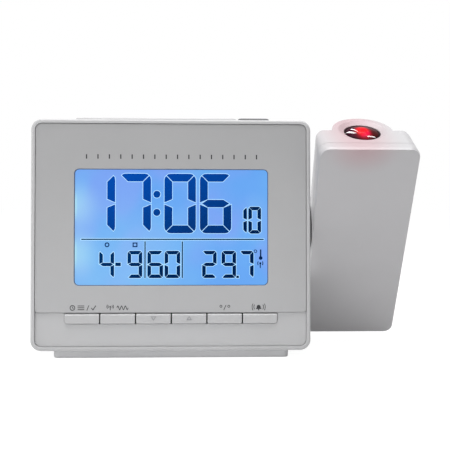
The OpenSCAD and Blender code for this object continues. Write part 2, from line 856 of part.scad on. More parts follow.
module battery_cells() color("darkslategray") leaning() for (k = [-1, 1])
    translate([bay_x, cell_v, bay_z + k * bay_h / 4]) {
        x0 = k > 0 ? -bay_l / 2 + contact_t + spring_l : bay_l / 2 - contact_t - spring_l;
        translate([x0, 0, 0])
            rotate([0, k > 0 ? 90 : -90, 0]) {
                cylinder(h = cell_l - nub_l, r = cell_d / 2);
                cylinder(h = cell_l, r = nub_r);
            }
    }

spring_turns = 3;
spring_r = [5, 2.6];
function coil(l, n) = [for (k = [0:n])
    let (s = k / n, a = 360 * spring_turns * s, r = spring_r[0] + (spring_r[1] - spring_r[0]) * s)
    [wire_r + (l - 2 * wire_r) * s, r * cos(a), r * sin(a)]];
module battery_springs() color("silver") leaning() for (k = [-1, 1])
    translate([bay_x - k * (bay_l / 2 - contact_t), cell_v, bay_z + k * bay_h / 4])
        mirror([k > 0 ? 0 : 1, 0, 0])
            wire(coil(spring_l, 36), wire_r, [1, 0, 0]);
module battery_plates() color("silver") leaning() for (k = [-1, 1], s = [-1, 1])
    translate([bay_x + s * (bay_l - contact_t) / 2, cell_v, bay_z + k * bay_h / 4])
        cube([contact_t, contact_w, contact_w], center = true);

module power_jack() color("black") leaning() translate([rear_x, 0, jack_z]) difference() {
    union() {
        slab(body_d - wall - jack_l, body_d - wall)
            square([jack_w, jack_h], center = true);
        peg(0, 0, jack_nose_r, body_d - wall, body_d);
    }
    difference() {
        peg(0, 0, jack_bore_r, body_d - wall - jack_l + jack_floor, body_d + over);
        peg(0, 0, jack_pin_r, body_d - wall - jack_l, body_d - jack_pin_in);
    }
}

module projection_switch() color("silver") leaning() difference() {
    box([rear_x + knob_travel / 2 - switch_case_w / 2, body_d - wall - switch_case_t, knob_z - switch_case_h / 2],
        [rear_x + knob_travel / 2 + switch_case_w / 2, body_d - wall, knob_z + switch_case_h / 2]);
    box([rear_x - knob_w / 2 - fit, body_d - wall - knob_depth, knob_z - fit - knob_w / 2],
        [rear_x + knob_w / 2 + fit + knob_travel, body_d, knob_z + fit + knob_w / 2]);
}
module switch_knob() color("black") leaning()
    box([rear_x - knob_w / 2, body_d - wall - knob_depth + seat, knob_z - knob_w / 2],
        [rear_x + knob_w / 2, body_d + knob_stand, knob_z + knob_w / 2]);

module buzzer() color("black") leaning() peg(rear_x, buzzer_z, buzzer_r, body_d - wall - buzzer_t, body_d - wall);

module ferrite_rod() color("dimgray") leaning() translate([0, rod_v, rod_z]) rod(rod_r, rod_x[0], rod_x[1]);
module antenna_coil() color("chocolate") leaning() translate([0, rod_v, rod_z]) difference() {
    rod(coil_r, coil_x[0], coil_x[1]);
    rod(rod_r + run_gap, coil_x[0] - over, coil_x[1] + over);
}

// hinge pieces share the tilt axis
module on_axis() translate([0, axis_y, axis_z]) children();
module pivot_bush() color("ivory") on_axis() difference() {
    union() {
        rod(bush_r, side_x - bush_l, side_x);
        rod(bush_flange_r, side_x - wall - bush_flange_t, side_x - wall);
    }
    rod(stub_r + run_gap, side_x - bush_l - over, side_x + over);
}
module friction_washer() color("black") on_axis() difference() {
    rod(washer_r, side_x + seat / 2, arm_x0);
    rod(stub_r + fit, side_x - over, arm_x0 + over);
}
module spring_washer() color("silver") on_axis() translate([side_x - bush_l, 0, 0]) rotate([0, -90, 0])
    rotate_extrude()
        polygon([[disc_in, disc_cone], [disc_out, 0], [disc_out, disc_t], [disc_in, disc_cone + disc_t]]);
module retaining_ring() color("silver") on_axis() translate([ring_x, 0, 0]) rotate([0, 90, 0])
    rotate([0, 0, ring_open / 2])
        rotate_extrude(angle = 360 - ring_open)
            translate([stub_r - ring_depth + run_gap, 0])
                square([ring_depth + ring_w, ring_t]);

module arm_plan(inset) translate([arm_mid, arm_mid_z]) rounded_rect(arm_w - 2 * inset, arm_len - 2 * inset, arm_r - inset);

module arm_front_cover() color("silver") on_arm() difference() {
    union() {
        difference() {
            union() {
                translate([arm_mid, bevel_d - arm_front, arm_mid_z])
                    rotate([90, 0, 0])
                        profiled_block(arm_w, arm_len, arm_r, bevel_d)
                            taper_profile(arm_r, bevel_d, bevel_in);
                slab(bevel_d - arm_front, cover_y - fit)
                    arm_plan(0);
            }
            slab(arm_wall - arm_front, cover_y + over)
                arm_plan(arm_wall);
        }
        for (x = [arm_x0 + arm_boss_in, arm_x1 - arm_boss_in], z = arm_boss_z)
            peg(x, z, arm_boss_r, arm_wall - arm_front, cover_y - fit);
    }
    for (x = [arm_x0 + arm_boss_in, arm_x1 - arm_boss_in], z = arm_boss_z)
        peg(x, z, screw_r + run_gap, arm_wall - arm_front + 0.4, cover_y + over);
}

// cross-section of the back housing: drafted sides and round back corners
module housing_section(inset, fillet) {
    depth = arm_back - cover_y;
    slope = atan(arm_draft / depth);
    back = arm_back - inset;
    half = arm_w / 2 - inset / cos(slope);
    side_at_back = half - (back - cover_y) * tan(slope);
    cy = back - fillet;
    cx = half - (cy - cover_y) * tan(slope) - fillet / cos(slope);
    touch = [cx + fillet * cos(slope), cy + fillet * sin(slope)];
    for (s = [-1, 1])
        translate([s * cx, cy])
            circle(fillet);
    polygon([
        [-half, cover_y], [-touch[0], touch[1]], [-cx, cy], [-cx, back],
        [cx, back], [cx, cy], [touch[0], touch[1]], [half, cover_y]
    ]);
}
module housing_body(inset, fillet) translate([arm_mid, 0, 0]) intersection() {
    translate([0, 0, -arm_low + inset])
        linear_extrude(arm_len - 2 * inset)
            housing_section(inset, fillet);
    translate([-arm_mid, 0, 0])
        slab(cover_y - over, arm_back + over)
            arm_plan(inset);
}
// the lens housing: half a tube on the back with a round lower end
module bulge(r, top) {
    translate([arm_mid, lens_y, arm_top - bulge_l])
        cylinder(h = bulge_l - top, r = r);
    translate([arm_mid, lens_y, arm_top - bulge_l])
        sphere(r);
}

module arm_rear_housing() color("silver") {
    on_arm() difference() {
        union() {
            difference() {
                union() {
                    housing_body(0, back_fillet);
                    intersection() {
                        bulge(bulge_r, 0);
                        translate([arm_x0, cover_y, -arm_low])
                            cube([arm_w, 3 * bulge_r, arm_len]);
                    }
                }
                housing_body(arm_wall, back_fillet - arm_wall);
                bulge(bulge_r - arm_wall, arm_wall + dish_d);
            }
            for (x = [arm_x0 + arm_boss_in, arm_x1 - arm_boss_in], z = arm_boss_z)
                peg(x, z, arm_boss_r, cover_y, arm_back - arm_wall / 2);
            // hollow stub axle, its collar grooved for the retaining ring
            rod(stub_r, stub_x0, arm_x0 + arm_wall);
        }
        rod(stub_bore_r, stub_x0 - over, arm_x0 + arm_wall + over);
        difference() {
            rod(stub_r + over, ring_x - run_gap, ring_x + ring_t + run_gap);
            rod(stub_r - ring_depth, ring_x - over, ring_x + ring_t + over);
        }
        for (x = [arm_x0 + arm_boss_in, arm_x1 - arm_boss_in], z = arm_boss_z) {
            peg(x, z, screw_r + fit, cover_y - over, arm_back + over);
            peg(x, z, screw_head_r + fit, arm_back - 4.5, arm_back + over);
        }
        // dish and opening of the lens, and the slot of the focus wheel
        translate([arm_mid, lens_y, arm_top]) {
            translate([0, 0, -dish_d])
                cylinder(h = dish_d, r1 = barrel_r + 0.3, r2 = dish_r);
            translate([0, 0, -tube_top])
                cylinder(h = tube_top, r = barrel_r + 0.3);
            translate([0, 0, -wheel_top - wheel_t - 0.25])
                cylinder(h = wheel_t + 0.5, r = wheel_r + 0.3);
        }
    }
}

// carrier of the optics: barrel guide above, stages for the small display and the condenser below
module optics_tube() color("black") on_lens() difference() {
    union() {
        translate([0, 0, -tube_top - tube_l])
            cylinder(h = tube_l, r = tube_r);
        for (s = [-1, 1])
            translate([s * (tube_r - 1 + ear_w / 2), arm_back - arm_wall - lens_y - ear_t / 2, -ear_z])
                cube([ear_w, ear_t, ear_l], center = true);
    }
    translate([0, 0, -20])
        cylinder(h = 20, r = barrel_r + run_gap);
    translate([0, 0, -lcd_stage])
        cylinder(h = lcd_stage - 19, r = stage_r);
    translate([0, 0, -tube_top - tube_l - over])
        cylinder(h = tube_l, r = stage_lip);
    translate([0, 0, -condenser_stage - 1])
        cylinder(h = condenser_stage - lcd_stage, r = stage_r);
    // slot of the barrel's guide pin
    box([0, -pin_r - fit, -pin_z - focus_travel - pin_r - fit],
        [2 * tube_r, pin_r + fit, -pin_z + focus_travel + pin_r + fit]);
}

module lens_barrel() color("black") on_lens() {
    difference() {
        translate([0, 0, -barrel_top - barrel_l])
            cylinder(h = barrel_l, r = barrel_r);
        // seat of the lens above, its ledge, and the wider bore below
        translate([0, 0, -barrel_top - lens_t])
            cylinder(h = lens_t + over, r = barrel_bore);
        translate([0, 0, -barrel_top - barrel_l])
            cylinder(h = barrel_l, r = barrel_bore - 1);
        translate([0, 0, -barrel_top - barrel_l - over])
            cylinder(h = barrel_l + over - lens_t - 1, r = barrel_bore);
    }
    translate([0, 0, -pin_z])
        rotate([0, 90, 0])
            translate([0, 0, barrel_r - 0.5])
                cylinder(h = wheel_bore + 0.6 - barrel_r + 0.5, r = pin_r);
}

// a domed cap on the barrel's end, and its spigot in the bore
module projection_lens() color("lavender", 0.5) on_lens() translate([0, 0, -barrel_top]) {
    translate([0, 0, seat - lens_t])
        cylinder(h = lens_t, r = lens_r);
    intersection() {
        cylinder(h = lens_curve, r = barrel_r);
        translate([0, 0, lens_cap_t - sqrt(lens_curve ^ 2 - barrel_r ^ 2)])
            sphere(lens_curve);
    }
}

module focus_wheel() color("dimgray") on_lens() translate([0, 0, -wheel_top - wheel_t]) difference() {
    cylinder(h = wheel_t, r = wheel_r);
    translate([0, 0, -over])
        cylinder(h = wheel_t + 2 * over, r = wheel_bore);
    translate([0, 0, wheel_t / 2 - focus_travel - pin_r - fit])
        cylinder(h = 2 * (focus_travel + pin_r + fit), r = wheel_bore + 1);
    for (k = [0:wheel_grooves - 1])
        rotate([0, 0, k * 360 / wheel_grooves])
            translate([wheel_r + 0.2, 0, -over])
                cylinder(h = wheel_t + 2 * over, r = 0.5);
}

module projection_lcd() color("lightsteelblue", 0.6) on_lens() translate([0, 0, -lcd_stage + small_lcd[2] / 2])
    cube(small_lcd, center = true);
module condenser_lens() color("lavender", 0.5) on_lens() translate([0, 0, -condenser_stage - 1]) intersection() {
    cylinder(h = condenser_t, r = stage_r - run_gap);
    translate([0, 0, condenser_t - condenser_curve])
        sphere(condenser_curve);
}
module projector_led() color("red") on_lens() translate([0, 0, -tube_top - tube_l]) {
    cylinder(h = 1, r = led_r + 0.4);
    cylinder(h = 2.8, r = led_r);
    translate([0, 0, 2.8])
        intersection() {
            sphere(led_r);
            cylinder(h = led_r, r = led_r);
        }
}
module led_board() color("seagreen") on_lens() translate([0, 0, -tube_top - tube_l - led_board_t])
    cylinder(h = led_board_t, r = tube_r);

// the lead runs from the lamp's board to the tilt axis, through the stub, and on to the main board
lead_start = [arm_mid, lens_y - 3, arm_top - tube_top - tube_l - led_board_t];
lead_turn_x = arm_x0 + 9;
module arm_lead() color("black") on_arm() wire(concat(
    [lead_start],
    bend(lead_start - [0, 0, 1], [arm_mid, lens_y - 3, lead_start[2] - 4], [arm_mid - 5, 2.2, 0.5], 8),
    bend([arm_mid - 6.2, 1.4, 0.2], [arm_mid - 8, 0, 0], [lead_turn_x, 0, 0], 6),
    [[arm_x0, 0, 0], [stub_x0, 0, 0], [lead_join, 0, 0]]
), lead_r, [0, 0.96, 0.28]);
module body_lead() color("black") leaning() translate([0, pivot_v, pivot_w]) wire(concat(
    [[lead_join, 0, 0]],
    bend([lead_join - 1, 0, 0], [lead_foot_x, 0, 0], [lead_foot_x, lead_foot_v + 0.4, 0], 8),
    [[lead_foot_x, lead_foot_v, 0]]
), lead_r, [0, 0, 1]);

module arm_screws() color("silver") on_arm() {
    for (x = [arm_x0 + arm_boss_in, arm_x1 - arm_boss_in], z = arm_boss_z)
        translate([x, arm_back - 4.5, z])
            rotate([-90, 0, 0])
                screw(arm_t - 4.5 - arm_wall - 1.2);
}

front_case();
face_plate();
lcd_window();
lcd_glass();
light_guide();
backlight_leds();
lcd_holder();
contact_strip();
main_board();
clock_chip();
quartz_crystal();
radio_module();
temperature_sensor();
key_switches();
key_left_1();
key_left_2();
key_down();
key_up();
key_right_1();
key_right_2();
snooze_bar();
light_button();
top_board();
top_switches();
rear_case();
base_plate();
rubber_feet();
case_screws();
board_screws();
battery_door();
battery_cells();
battery_springs();
battery_plates();
power_jack();
projection_switch();
switch_knob();
buzzer();
ferrite_rod();
antenna_coil();
body_lead();
pivot_bush();
friction_washer();
spring_washer();
retaining_ring();
arm_front_cover();
arm_rear_housing();
optics_tube();
lens_barrel();
projection_lens();
focus_wheel();
projection_lcd();
condenser_lens();
projector_led();
led_board();
arm_lead();
arm_screws();
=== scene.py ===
"""Projection alarm clock: finishes, lit display, printed marks and lamps round its solids."""

import math

import bmesh
import bpy
from mathutils import Matrix, Vector


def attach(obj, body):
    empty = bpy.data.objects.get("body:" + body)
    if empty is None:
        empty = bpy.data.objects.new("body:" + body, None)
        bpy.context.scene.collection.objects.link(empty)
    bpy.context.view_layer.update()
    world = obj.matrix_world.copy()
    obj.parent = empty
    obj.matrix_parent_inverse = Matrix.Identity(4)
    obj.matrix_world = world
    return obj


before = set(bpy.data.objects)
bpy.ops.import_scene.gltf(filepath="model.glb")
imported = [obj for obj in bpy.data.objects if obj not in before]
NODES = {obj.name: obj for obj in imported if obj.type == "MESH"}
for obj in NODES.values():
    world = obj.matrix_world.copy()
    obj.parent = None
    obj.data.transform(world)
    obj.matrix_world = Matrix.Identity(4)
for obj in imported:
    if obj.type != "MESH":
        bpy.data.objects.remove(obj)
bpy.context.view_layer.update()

MM = 0.001

# where the leaning body, the tilting arm and its lens stand, in millimetres and degrees
BODY_PLACE, BODY_LEAN = (0, -15.5, 3), -3
ARM_PLACE, ARM_TILT = (0, 1.9916, 50.1492), 28.3
LENS_PLACE = (75.7, 7.2, 41.4)

# depths behind the front rim, and the radius of the lens's dome, in millimetres
KEY_FRONT = 0.1
PLATE_FRONT = 0.3
SHEET_FRONT = 1.5
GLASS_FRONT = 3.5
LENS_CURVE = 18

CAMERA_PLACE = Vector((0.010497, -0.303977, 0.063029))
CAMERA_RIGHT = Vector((0.99934134, -0.0361957, 0.00259873))
CAMERA_UP = Vector((-0.00126809, 0.03673672, 0.99932417))
CAMERA_LENS_MM, SENSOR_MM = 59.14, 36


def stand(place_mm, degrees=0):
    """A frame at a place, turned about x."""
    turn = Matrix.Rotation(math.radians(degrees), 4, "X")
    return Matrix.Translation(Vector(place_mm) * MM) @ turn


def axes(right, up, back):
    """The turn that takes x, y and z to these three directions."""
    return Matrix((right, up, back)).transposed()


BODY_FRAME = stand(BODY_PLACE, BODY_LEAN)
ARM_FRAME = stand(ARM_PLACE, ARM_TILT)
LENS_FRAME = ARM_FRAME @ stand(LENS_PLACE)


def body_point(across, deep, up):
    """A point of the leaning body, given in millimetres, in metres."""
    return tuple(BODY_FRAME @ (Vector((across, deep, up)) * MM))


# ------------------------------------------------------------------ camera
def set_camera():
    data = bpy.data.cameras.new("camera")
    data.sensor_width = SENSOR_MM
    data.lens = CAMERA_LENS_MM
    data.clip_start = 0.01
    camera = bpy.data.objects.new("camera", data)
    bpy.context.scene.collection.objects.link(camera)
    turn = axes(CAMERA_RIGHT, CAMERA_UP, CAMERA_RIGHT.cross(CAMERA_UP))
    camera.matrix_world = Matrix.Translation(CAMERA_PLACE) @ turn.to_4x4()
    bpy.context.scene.camera = camera


set_camera()
bpy.context.scene.view_settings.view_transform = "Standard"


# ------------------------------------------------------------------ shader maths
class Value:
    """A shader socket. The arithmetic operators on it add Math nodes."""

    def __init__(self, maker, socket):
        self.maker, self.socket = maker, socket

    def __add__(self, other):
        return self.maker.math("ADD", self, other)

    def __radd__(self, other):
        return self.maker.math("ADD", other, self)

    def __sub__(self, other):
        return self.maker.math("SUBTRACT", self, other)

    def __rsub__(self, other):
        return self.maker.math("SUBTRACT", other, self)

    def __mul__(self, other):
        return self.maker.math("MULTIPLY", self, other)

    def __rmul__(self, other):
        return self.maker.math("MULTIPLY", other, self)


class Maker:
    """Adds nodes to the tree of one material or of the world."""

    def __init__(self, tree):
        self.tree = tree
        tree.nodes.clear()

    def node(self, kind, settings=None, sockets=None, output=0):
        """One node of any type: its settings are set first, then its sockets. Gives one output."""
        made = self.tree.nodes.new("ShaderNode" + kind)
        for name, value in (settings or {}).items():
            setattr(made, name, value)
        for name, value in (sockets or {}).items():
            if isinstance(value, Value):
                self.tree.links.new(value.socket, made.inputs[name])
            else:
                made.inputs[name].default_value = value
        return Value(self, made.outputs[output]) if made.outputs else made

    def math(self, operation, first, second=0.0):
        return self.node("Math", {"operation": operation}, {0: first, 1: second})

    def vector(self, operation, first, second, output="Vector"):
        return self.node("VectorMath", {"operation": operation}, {0: first, 1: second}, output)

    def mix(self, factor, first, second, blend="MIX"):
        """A colour between two others, or their product where the blend is MULTIPLY."""
        # the node's colours are its inputs 6 and 7 and its output 2
        return self.node(
            "Mix", {"data_type": "RGBA", "blend_type": blend}, {0: factor, 6: first, 7: second}, 2)

    def filtered(self, paint, red, green, blue):
        """A paint seen through a filter that passes these shares."""
        return self.mix(1.0, paint, (red, green, blue, 1.0), "MULTIPLY")

    def ease(self, value, low, high):
        """0 below low, 1 above high, and smooth between them."""
        return self.node(
            "MapRange", {"interpolation_type": "SMOOTHSTEP"},
            {"Value": value, "From Min": low, "From Max": high})

    def place(self):
        return self.node("TexCoord", output="Object")

    def away(self, point):
        """How far the surface lies from a point, in metres."""
        return self.vector("DISTANCE", self.place(), point, "Value")

    def along(self, direction, start):
        """How far the surface lies along a direction from a start, in metres."""
        offset = self.vector("SUBTRACT", self.place(), tuple(start))
        return self.vector("DOT_PRODUCT", offset, tuple(direction), "Value")

    def noise(self, size_mm, detail=3.0, rough=0.5, where=None):
        return self.node("TexNoise", {}, {
            "Vector": where or self.place(), "Scale": 1 / (size_mm * MM),
            "Detail": detail, "Roughness": rough})

    def cells(self, size_mm):
        return self.node(
            "TexVoronoi", {"feature": "F1"}, {"Vector": self.place(), "Scale": 1 / (size_mm * MM)})

    def relief(self, height, depth_mm, edge_mm=0.0):
        """A normal from a height, over edges rounded by edge_mm."""
        sockets = {"Height": height, "Distance": depth_mm * MM, "Strength": 1.0}
        if edge_mm:
            sockets["Normal"] = self.node("Bevel", {"samples": 4}, {"Radius": edge_mm * MM})
        return self.node("Bump", {}, sockets)

    def surface(self, sockets):
        shader = self.node("BsdfPrincipled", {}, sockets)
        self.node("OutputMaterial", {}, {"Surface": shader})


def tone(red, green, blue):
    """A colour as it shows on a screen, 0 to 255, turned into scene light."""
    def linear(level):
        level /= 255
        return level / 12.92 if level <= 0.04045 else ((level + 0.055) / 1.055) ** 2.4
    return (linear(red), linear(green), linear(blue), 1.0)


def material(name):
    made = bpy.data.materials.new(name)
    made.use_nodes = True
    return made, Maker(made.node_tree)


def shade(colour, share):
    """The same colour, share times as bright."""
    return tuple(min(1.0, c * share) for c in colour[:3]) + (1.0,)


# ------------------------------------------------------------------ finishes
def moulded(name, colour, roughness=0.42, grain_mm=0.35, relief_mm=0.006, edge_mm=0.12, painted_light=None):
    """Moulded plastic: a fine eroded grain, slow drifts of tone and gloss, and softened edges."""
    made, m = material(name)
    drift = m.noise(18, 2.0)
    grain = m.noise(grain_mm, 2.0, 0.6)
    paint = m.mix(drift, shade(colour, 0.97), shade(colour, 1.03))
    paint = m.mix(grain * 0.12, paint, shade(colour, 0.86))
    # light and shade painted over the colour, where given
    if painted_light:
        paint = painted_light(m, paint)
    m.surface({
        "Base Color": paint,
        "Roughness": roughness + (m.noise(4, 3.0) - 0.5) * 0.10 + (grain - 0.5) * 0.06,
        "Normal": m.relief(grain, relief_mm, edge_mm),
    })
    return made


def painted_lens_glow(m, paint):
    """The lens's pink light, painted on the arm's end: wide towards the front, slight lower down.
    """
    centre = LENS_FRAME.translation
    across, deep, up = (m.along(LENS_FRAME.col[k].to_3d(), centre) for k in range(3))
    side = across + 3 * MM
    away = m.math("SQRT", side * side * 1.5 + deep * deep * 0.2 + up * up * 2.9)
    # no light reaches the end's lower part behind the lens
    behind = m.ease(deep, 1 * MM, 5 * MM) * (1 - m.ease(up, -6 * MM, -1 * MM))
    # painted light: pink from the lens, strongest near it
    painted_glow = (1 - m.ease(away, 3 * MM, 22 * MM)) * (1 - behind)
    return m.mix(painted_glow, paint, m.filtered(paint, 1.0, 0.7, 0.73))


def painted_plate_shading(m, paint):
    """Painted light and shade: the plate a little paler towards its lower edge and darker towards
    its top.
    """
    up = m.along(BODY_FRAME.col[2].to_3d(), body_point(0, 0, 15))
    # painted light towards the lower edge, painted shade towards the top
    pale, dark = m.filtered(paint, 1.06, 1.06, 1.06), m.filtered(paint, 0.92, 0.92, 0.92)
    return m.mix(m.ease(up, 0, 70 * MM), pale, dark)


def metal(name, colour, roughness=0.32):
    """Plated or drawn metal with fine lines along x."""
    made, m = material(name)
    stretched = m.vector("DIVIDE", m.place(), (6 * MM, 0.12 * MM, 0.12 * MM))
    lines = m.node("TexNoise", {}, {"Vector": stretched, "Scale": 1.0, "Detail": 2.0})
    m.surface({
        "Base Color": m.mix(lines, shade(colour, 0.82), shade(colour, 1.1)),
        "Metallic": 1.0,
        "Roughness": roughness + (lines - 0.5) * 0.25,
        "Normal": m.relief(lines, 0.004, 0.05),
    })
    return made


def rubber(name, colour):
    made, m = material(name)
    grain = m.noise(0.5, 4.0, 0.7)
    m.surface({
        "Base Color": m.mix(grain, shade(colour, 0.75), shade(colour, 1.25)),
        "Roughness": 0.78 + (grain - 0.5) * 0.2,
        "Normal": m.relief(grain, 0.03, 0.1),
        "Specular IOR Level": 0.3,
    })
    return made


def circuit_board(name):
    """Green mask over copper lanes, with a scatter of drilled pads."""
    made, m = material(name)
    black, white = tone(0, 0, 0), tone(255, 255, 255)
    lanes = m.node("TexBrick", {"offset": 0.37}, {
        "Vector": m.place(), "Scale": 1 / (9 * MM), "Mortar Size": 0.05,
        "Color1": black, "Color2": black, "Mortar": white})
    lane = m.node("RGBToBW", {}, {"Color": lanes})
    pads = 1 - m.ease(m.cells(3.2), 0.16, 0.22)
    mask = m.mix(lane, tone(10, 72, 38), tone(24, 110, 60))
    m.surface({
        "Base Color": m.mix(pads, mask, tone(196, 178, 120)),
        "Metallic": pads * 0.8,
        "Roughness": 0.34 + m.noise(2.0) * 0.12,
        "Normal": m.relief(lane * 0.5 + pads, 0.03),
    })
    return made


def clear_part(name, colour, alpha, roughness=0.04, gloss=0.5):
    """A clear moulding: mostly see-through, with faint flow marks."""
    made, m = material(name)
    flow = m.noise(9, 3.0)
    m.surface({
        "Base Color": m.mix(flow, shade(colour, 0.9), colour),
        "Alpha": alpha,
        "Roughness": roughness + flow * 0.03,
        "Specular IOR Level": gloss,
        "Normal": m.relief(flow, 0.01),
    })
    return made


# heights of the display's two side lamps, in millimetres
SIDE_LAMP_HEIGHTS = (57, 38)


def lit_display(name):
    """The display's glowing field: sky blue, lilac patches, and hot spots by its two side lamps."""
    made, m = material(name)
    lilac = m.ease(m.noise(22, 1.0, 0.4), 0.42, 0.62)
    aqua = m.ease(m.noise(15, 1.0, 0.4, m.vector("ADD", m.place(), (0.31, 0.12, 0.2))), 0.42, 0.7)
    field = m.mix(lilac, tone(106, 170, 247), tone(126, 168, 248))
    field = m.mix(aqua * 0.5, field, tone(116, 186, 248))
    low = m.away(body_point(-20, GLASS_FRONT, 28))
    field = m.mix((1 - m.ease(low, 6 * MM, 42 * MM)) * 0.45, field, tone(146, 208, 249))
    inwards = m.along(BODY_FRAME.col[0].to_3d(), body_point(-38.6, GLASS_FRONT, 0))
    hot = 0.0
    for up in SIDE_LAMP_HEIGHTS:
        away = m.away(body_point(-39, GLASS_FRONT, up))
        hot = (1 - m.ease(away, 0, 13 * MM)) * 0.48 + hot
        hot = (1 - m.ease(inwards, 0, 1.6 * MM)) * (1 - m.ease(away, 2 * MM, 7 * MM)) * 0.45 + hot
    field = m.mix(m.math("MINIMUM", hot, 1.0), field, tone(190, 242, 250))
    m.surface({
        "Base Color": (0.01, 0.02, 0.04, 1),
        "Roughness": 0.25 + lilac * 0.05,
        "Specular IOR Level": 0.05,
        "Emission Color": field,
        "Emission Strength": 1.0,
    })
    return made


# the two ways in which the display's inks deepen, and how far beyond its middle each change ends
DOWN_RIGHT, DOWN_RIGHT_MM = (0.7, 0, -0.7), 30
DOWN, DOWN_MM = (0.37, 0, -0.93), 18


def lit_ink(name, colour, far_colour=None, glow=1.0, way=DOWN_RIGHT, far_mm=DOWN_RIGHT_MM):
    """Ink on the lit display, which deepens along a way."""
    made, m = material(name)
    slope = m.ease(m.along(way, body_point(0, GLASS_FRONT, 48)), -34 * MM, far_mm * MM)
    paint = m.mix(slope, colour, far_colour or shade(colour, 0.8))
    paint = m.mix(m.noise(5, 2.0) * 0.3, paint, shade(colour, 0.7))
    m.surface({
        "Base Color": m.mix(slope, shade(colour, 0.2), shade(colour, 0.15)),
        "Roughness": 0.4 + m.noise(3) * 0.1,
        "Specular IOR Level": 0.0,
        "Emission Color": paint,
        "Emission Strength": glow,
    })
    return made


def print_and_shade_ink(name, colour):
    """Pad-printed ink, thin and a little broken at the grain; also the dark line of painted shade
    round the window.
    """
    made, m = material(name)
    speck = m.noise(0.18, 2.0)
    m.surface({
        "Base Color": m.mix(speck, shade(colour, 0.8), shade(colour, 1.25)),
        "Roughness": 0.5 + (speck - 0.5) * 0.2,
        "Normal": m.relief(speck, 0.004),
    })
    return made


def glowing_lens(name):
    """The projection lens: a red core seen through a dark wine rim, under a polished surface."""
    made, m = material(name)
    centre = LENS_FRAME.translation
    across = m.along(LENS_FRAME.col[0].to_3d(), centre)
    deep = m.along(LENS_FRAME.col[1].to_3d(), centre)
    swirl = m.noise(1.6, 2.0, where=m.vector("ADD", m.place(), (0.02, 0.05, 0.01)))
    low = deep + 0.7 * MM
    away = m.math("SQRT", across * across * 1.9 + low * low * 0.72) + (swirl - 0.5) * 1.6 * MM
    core = 1 - m.ease(away, 2.5 * MM, 4.7 * MM)
    rim = m.mix(m.ease(across, -6 * MM, 5 * MM), tone(60, 2, 34), tone(72, 12, 6))
    rim = m.mix(m.ease(deep, 0, 7 * MM), rim, tone(34, 0, 8))
    edge = m.ease(m.math("SQRT", across * across + deep * deep), 5.6 * MM, 6.9 * MM)
    rim = m.mix(edge, rim, tone(16, 0, 4))
    rim = m.mix(1 - m.ease(away, 3.6 * MM, 6.2 * MM), rim, tone(140, 4, 22))
    bright = m.ease(m.noise(1.5, 2.0), 0.48, 0.68)
    glow = m.mix(bright, tone(240, 0, 12), tone(255, 70, 74))
    glow = m.mix(m.ease(across - deep, 1 * MM, 5 * MM) * 0.45, glow, tone(226, 24, 100))
    glow = m.mix(core, rim, glow)
    m.surface({
        "Base Color": m.mix(core, tone(14, 4, 6), tone(60, 3, 8)),
        "Roughness": 0.03 + core * 0.02,
        "Specular IOR Level": 0.009,
        "Emission Color": glow,
        "Emission Strength": 1.0,
    })
    return made


def red_lamp(name):
    made, m = material(name)
    swirl = m.noise(1.5, 2.0)
    m.surface({
        "Base Color": m.mix(swirl, tone(190, 20, 20), tone(230, 40, 36)),
        "Roughness": 0.12 + swirl * 0.05,
        "Emission Color": m.mix(swirl, tone(255, 30, 30), tone(255, 90, 80)),
        "Emission Strength": 1.0,
    })
    return made


def cell_sleeve(name):
    """Two round cells: a printed sleeve with a coloured band, and bare steel ends."""
    made, m = material(name)
    x = m.along((1, 0, 0), (-6 * MM, 0, 0))
    reach = m.math("ABSOLUTE", x)
    ends = m.ease(reach, 25.4 * MM, 25.6 * MM)
    band = m.ease(x, 9.8 * MM, 10.0 * MM) * (1 - m.ease(x, 21.8 * MM, 22.0 * MM))
    scuff = m.noise(1.2, 4.0, 0.7)
    sleeve = m.mix(band, tone(62, 96, 88), tone(206, 207, 204))
    sleeve = m.mix(scuff * 0.2, sleeve, tone(120, 124, 130))
    m.surface({
        "Base Color": m.mix(ends, sleeve, tone(188, 188, 190)),
        "Metallic": ends * 0.9,
        "Roughness": 0.3 + scuff * 0.12,
        "Normal": m.relief(scuff, 0.01),
    })
    return made


def winding(name):
    """Enamelled copper wire wound side by side."""
    made, m = material(name)
    turns = m.node(
        "TexWave", {"wave_type": "BANDS", "bands_direction": "X"},
        {"Vector": m.place(), "Scale": 1 / (0.9 * MM), "Distortion": 0.4, "Detail": 1.0})
    height = m.node("RGBToBW", {}, {"Color": turns})
    m.surface({
        "Base Color": m.mix(height, tone(96, 48, 20), tone(214, 128, 62)),
        "Metallic": 0.9,
        "Roughness": 0.34 - height * 0.1,
        "Normal": m.relief(height, 0.08),
    })
    return made


